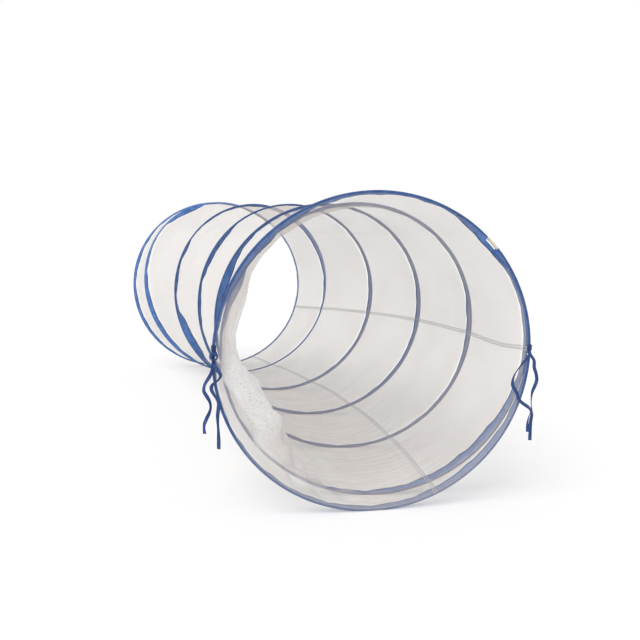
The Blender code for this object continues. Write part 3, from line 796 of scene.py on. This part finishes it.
# net sleeve in two lengthwise panels, with a sewn band over each meeting of their edges
netValues = {
    "cell": 0.0033,
    "thread": (0.63, 0.565, 0.515, 1),
    # darker thread, for random clouds and for painted shade in the creases where the net lies on the floor
    "shade": (0.54, 0.480, 0.435, 1),
    "gathered": (0.97, 0.965, 0.96, 1),
    "alphas": (0.86, 0.13, 0.62),     # threads, holes, and holes where the cloth is gathered
    "sheerest": 0.20,                 # share of its cover that the net keeps where a tape stretches it
    "sheerWidth": 0.009,
    "lace": 430.0,
    "cloud": 7.0,
    "wander": (14.0, 0.004),
    "relief": 0.0009,
    "waist": 0.0055,                  # how far the cloth draws in between two turns
    "besideWire": 0.0055,             # on either side of a wire, where the cloth runs under it
    "underTape": 0.0012,
    "underWire": 0.0034,
    "hemTop": -0.0004,                # from a mouth's wire to the net's edge, above and below
    "hemLow": -0.0030,
    "offFloor": 0.0008,
    "sideSeam": (math.radians(1.0), math.radians(-16.5)),
    "sideBend": 1.6,
    "sideSpread": math.radians(60),
    "floorSeam": math.radians(-66),
    # fan of creases on the floor: degrees round the front mouth and to each side, metres back and deep
    "fan": (246, 24, 0.55, 0.0045),
    "fanPale": 0.35,
    "lying": (-138, -42),             # degrees between which the net lies on the floor
    "perRadian": 0.29,                # metres of cloth around the sleeve
    "perTurn": 320,
    "slackDeep": [(138, 0), (150, 0.006), (157, 0.016), (164, 0.020), (172, 0.017), (178, 0.022),
                  (186, 0.040), (193, 0.052), (200, 0.062), (208, 0.067), (216, 0.062), (226, 0.048),
                  (238, 0.025), (252, 0)],
    "slackFolds": (0.17, 0.09, 0.05),
    "drawnDepth": 0.022,              # slack at which the threads lie close, less so from 206 degrees on
    "drawnShare": [(206, 1), (230, 0.35)],
    "swell": 0.0010,
    "seamWidth": 0.009,
    "seamRow": 0.0029,                # from the band's middle to each row of stitches
    "seamThick": 0.0005,
    "seamInside": 0.0011,
    "seamStitch": 0.0042,
    "seamLine": (0.54, 0.68, 0.78, 1),
    "fluff": 400.0,
    "seamRelief": 0.0004,
}


# 1 in the net's open cells and 0 on its threads
def diamond(finish, across, down):
    pitch = netValues["cell"] * 2
    rising, falling = (across + down).wave(pitch).size(), (across - down).wave(pitch).size()
    return rising.least(falling).ramp(0.20, 0.55)


def netFinish():
    finish = Finish("sheerNet", 0.85, {"Sheen Weight": 0.15})
    spot, across, down = finish.strip()
    wander = finish.noise(spot, netValues["wander"][0]) * netValues["wander"][1]
    hole = diamond(finish, across + wander, down)
    looseness = finish.node("ShaderNodeAttribute", {"attribute_name": "gather"}, None, "Fac")
    gather, sheer = looseness.most(0.0), looseness.ramp(-1.0, 0.0, netValues["sheerest"], 1.0)
    cloud = finish.noise(spot, netValues["cloud"]).ramp(0.3, 0.7)
    low, high = (math.radians(degrees) * netValues["perRadian"] for degrees in netValues["lying"])
    floor = across.ramp(low, low + 0.12) * across.ramp(high, high - 0.12)
    crease = finish.stretched(across * 5, down * 90, 1.0).ramp(0.35, 0.75)
    folds = finish.stretched(across * 3 + down * 4, down * 45, 1.0).ramp(0.45, 0.65) * gather
    lace = finish.noise(spot, netValues["lace"]).ramp(0.50, 0.62) * gather
    # the thread darkens in random clouds and in the open cells, and in the creases on the floor as painted
    # shade
    cloudCellAndCreaseShade = cloud * 0.35 + hole * 0.3 + crease * floor * 0.6
    plain = finish.mix(cloudCellAndCreaseShade, netValues["thread"], netValues["shade"])
    finish.colour(finish.mix(gather * 0.85 + folds * 0.15 - lace * 0.25, plain, netValues["gathered"]))
    solid, openCell, drawnCell = netValues["alphas"]
    cell = openCell + gather * (drawnCell - openCell)
    finish.set("Alpha", (solid - hole * (solid - cell) + (cloud - 0.5) * 0.06
                         + (crease - 0.4) * floor * 0.14 + folds * 0.35 - lace * 0.22) * sheer)
    finish.bump((1 - hole) * 0.5 + crease * (floor * 0.9 + 0.2), netValues["relief"], 0.6)
    return finish.material


def seamFinish():
    finish = Finish("sewnSeam", 0.8, {"Sheen Weight": 0.1})
    spot, across, down = finish.strip()
    row = (across.size() - netValues["seamRow"]).size().ramp(0.0009, 0.0003)
    dashes = down.wave(netValues["seamStitch"]).ramp(-0.5, 0.0)
    fluff = finish.noise(spot, netValues["fluff"])
    finish.colour(finish.mix(row * (0.6 + dashes * 0.4), netValues["thread"], netValues["seamLine"]))
    finish.set("Alpha", 0.10 + row * 0.75 + fluff * 0.1)
    finish.bump(row * dashes + fluff * 0.4, netValues["seamRelief"], 0.8)
    return finish.material


# keeps to the wire's length: a ring's last turn is met again one turn on
def intoWire(turned):
    turned = np.where(turned < -turn, turned + turn, turned)
    return np.where(turned > lastTurned + turn, turned - turn, turned)


# where the net is sewn to the tape of one pass of the wire: place along the sleeve, depth inwards
def sewnLine(turned, reach):
    lean = tapeLean(turned)
    reach = foldEnd + (reach - foldEnd) * keyed(widthKeys, turned)
    return along(turned) + reach * np.cos(lean), netValues["underTape"] + reach * np.sin(lean)


def nearWire(distance):
    return np.exp(-(distance / netValues["besideWire"]) ** 2)


# how far the cloth at an angle goes along with the side seam, which sinks towards the rear
def seamHat(nominal):
    near = (nominal - netValues["sideSeam"][0] + math.pi) % turn - math.pi
    return np.clip(1 - np.abs(near) / netValues["sideSpread"], 0, 1)


# cloth of the strip-th length between two passes of the wire; g runs from 0 at its front sewn line
# to 1 at its rear one, and beyond them on the hems of the two mouths
def netSpots(nominal, strip, g, inside=0.0):
    hem = np.clip(-g, 0, 1) + np.clip(g - 1, 0, 1)
    atRear = g > 0.5
    g = np.clip(g, 0, 1)
    angle = nominal.copy()
    first, last = netValues["sideSeam"]
    for _ in range(4):
        low = intoWire(spiral["leave"] - angle + turn * (strip - 1))
        high = intoWire(spiral["leave"] - angle + turn * strip)
        (s0, d0), (s1, d1) = sewnLine(low, tapeValues["sewnAt"]), sewnLine(high, tapeValues["sewnAt"])
        s = s0 + (s1 - s0) * g
        drop = (last - first) * np.clip(s / sleeveLength, 0, 1) ** netValues["sideBend"]
        angle = nominal + drop * seamHat(nominal)
    span = np.clip((s1 - s0) / spiral["pitch"], 0, 1.1)
    bow = g * (1 - g) * 4
    depth = d0 + (d1 - d0) * g + netValues["waist"] * span ** 1.5 * bow
    degrees = np.degrees(angle) % 360
    keys = np.array(netValues["slackDeep"])
    loose = np.interp(degrees, keys[:, 0], keys[:, 1]) * ((low < 0) & (high > 0) & (low > -turn * 0.98))
    slack = loose * np.sin(np.pi * g) ** 2
    large, small, fine = netValues["slackFolds"]
    fold = large * np.sin(24 * g + 1.5 * np.sin(angle * 3)) + small * np.sin(angle * 12 + 17 * g)
    fold += fine * np.sin(angle * 23 - 12 * g + 1)
    depth = depth + slack + loose * fold * np.minimum(bow * 1.5, 1)
    fanAt, fanWide, fanLong, fanDeep = netValues["fan"]
    fan = np.exp(-((degrees - fanAt) / fanWide) ** 2) * np.clip(1 - s / fanLong, 0, 1)
    fan = fan * np.minimum(bow * 2, 1)
    depth = depth + fanDeep * fan * (1 + np.sin(angle * 31 + s * 34 + 1.5 * np.sin(s * 19)))
    swell = np.sin(angle * 4 + s * 9) + np.sin(angle * 7 - s * 14 + 2) * 0.7
    depth = depth + netValues["swell"] * swell * bow * np.clip(span, 0, 1)
    clear = np.maximum(nearWire(s - along(low)), nearWire(s - along(high))) * netValues["underWire"]
    depth = np.maximum(depth, clear)
    ring = np.where(atRear, high, low)
    below = np.clip(-3 * np.sin(angle), 0, 1)
    end = netValues["hemTop"] + (netValues["hemLow"] - netValues["hemTop"]) * below
    reach = tapeValues["sewnAt"] + (end - tapeValues["sewnAt"]) * hem
    hemSpot, hemDepth = sewnLine(ring, reach)
    s = np.where(hem > 0, hemSpot, s)
    lift = tapeHeight(reach) * np.minimum(hem * 1.5, 1) - 0.7 * netValues["underTape"] * hem
    depth = np.where(hem > 0, hemDepth + lift, depth)
    spots = sleeveSpot(angle, s, -depth - inside)
    spots[..., 2] = np.maximum(spots[..., 2], netValues["offFloor"])
    middles = (along(t) + 0.5 * tapeValues["sewnAt"] * np.cos(tapeLean(t)) for t in (low, high))
    flat = [np.exp(-((s - middle) / netValues["sheerWidth"]) ** 2) for middle in middles]
    sheer = np.maximum(np.maximum(*flat) * (1 - np.minimum(hem, 1)),
                       np.minimum(hem * 1.6, 0.8) * (1 - below))
    drawn = np.clip(slack / netValues["drawnDepth"], 0, 1) \
        * np.interp(degrees, *np.array(netValues["drawnShare"]).T)
    return spots, s, np.clip(drawn + netValues["fanPale"] * fan * (1 - hem), 0, 1) - sheer


# rows of strip and g, close together beside the wire, for each place round the sleeve
def netGrid(nominal):
    near = np.array([0, 0.006, 0.012, 0.02, 0.03, 0.04, 0.05, 0.065, 0.085])
    length = np.concatenate([near, np.linspace(0.115, 0.885, 25), 1 - near[:0:-1]])
    hem = [0.3, 0.6, 0.78, 0.86, 0.93, 1]
    rows = [(0, -part) for part in reversed(hem)] + [(k, g) for k in range(7) for g in length]
    rows += [(6, 1)] + [(6, 1 + part) for part in hem]
    strip, g = (np.array([row[i] for row in rows], float)[:, None] for i in (0, 1))
    return np.broadcast_arrays(nominal[None, :], strip, g)


def addPanel(name, first, last, finish, node):
    count = int(round((first - last) / turn * netValues["perTurn"]))
    nominal, strip, g = netGrid(np.linspace(first, last, count + 1))
    spots, s, gather = netSpots(nominal, strip, g)
    uvs = np.stack([nominal * netValues["perRadian"], s], -1)
    panel = layGrid(name, spots, uvs, finish, gather=gather)
    bent(panel, "white_net", node)
    return panel


def addSeam(name, nominal, finish, node):
    half, thick = netValues["seamWidth"] / 2, netValues["seamThick"]
    outline = [(-1, 0), (-0.6, -1), (0, -0.8), (0.6, -1), (1, 0), (0.6, 1), (0, 1), (-0.6, 1), (-1, 0)]
    across, over = np.array(outline).T * np.array([[half], [thick]])
    flat, strip, g = netGrid(nominal + across / netValues["perRadian"])
    spots, s, gather = netSpots(flat, strip, g, inside=netValues["seamInside"] - over[None, :])
    uvs = np.stack([np.broadcast_to(across[None, :], s.shape), s], -1)
    seam = layGrid(name, spots, uvs, finish, closed=True)
    bent(seam, "net_seam", node)
    return seam


net, seamCloth = netFinish(), seamFinish()
sideAngle, floorAngle = netValues["sideSeam"][0], netValues["floorSeam"]
stripPanel = addPanel("netStripPanel", sideAngle, floorAngle, net, "net_strip_panel")
wrapPanel = addPanel("netWrapPanel", floorAngle, sideAngle - turn, net, "net_wrap_panel")
sideSeam = addSeam("sideSeamBand", sideAngle, seamCloth, "side_seam_band")
floorSeam = addSeam("floorSeamBand", floorAngle, seamCloth, "floor_seam_band")
print("net made")

# floor, world and key light
stageValues = {
    "floor": (1, 1, 1, 1),
    "floorSize": 60,
    "floorMiddle": (0, 10, 0),
    "ownLight": 0.36,       # share of the floor's look that is plain white
    "world": 0.66,
    "sun": 1.5,
    "sunAngle": math.radians(45),
    "sunTurned": (math.radians(26), math.radians(-26), 0),
}


def addFloor(values):
    deselect()
    bpy.ops.mesh.primitive_plane_add(size=values["floorSize"], location=values["floorMiddle"])
    bpy.ops.object.transform_apply(location=True)
    floor = bpy.context.object
    floor.name = floor.data.name = "studioFloor"
    finish = Finish("studioFloor", 0.9, {"Specular IOR Level": 0.0})
    finish.colour(values["floor"])
    glow = finish.node("ShaderNodeEmission")
    both = finish.node("ShaderNodeMixShader", None, {
        0: finish.whiteRays() * values["ownLight"], 1: Flow(finish, finish.shader.outputs[0]), 2: glow})
    finish.feed(finish.tree.nodes["Material Output"].inputs["Surface"], both)
    floor.data.materials.append(finish.material)


def addLight(values):
    scene = bpy.context.scene
    scene.world = scene.world or bpy.data.worlds.new("studio")
    scene.world.use_nodes = True
    scene.world.node_tree.nodes.clear()
    world = Nodes(scene.world.node_tree)
    soft, white = (world.node("ShaderNodeBackground", None, {0: (1, 1, 1, 1), 1: strength})
                   for strength in (values["world"], 1.0))
    both = world.node("ShaderNodeMixShader", None, {0: world.whiteRays(), 1: soft, 2: white})
    world.node("ShaderNodeOutputWorld", None, {0: both})
    lamp = bpy.data.lights.new("keyLight", "SUN")
    lamp.energy, lamp.angle = values["sun"], values["sunAngle"]
    key = bpy.data.objects.new("keyLight", lamp)
    key.rotation_euler = values["sunTurned"]
    scene.collection.objects.link(key)


addFloor(stageValues)
addLight(stageValues)
bpy.context.scene.view_settings.view_transform = "Standard"
print("floor and light made")
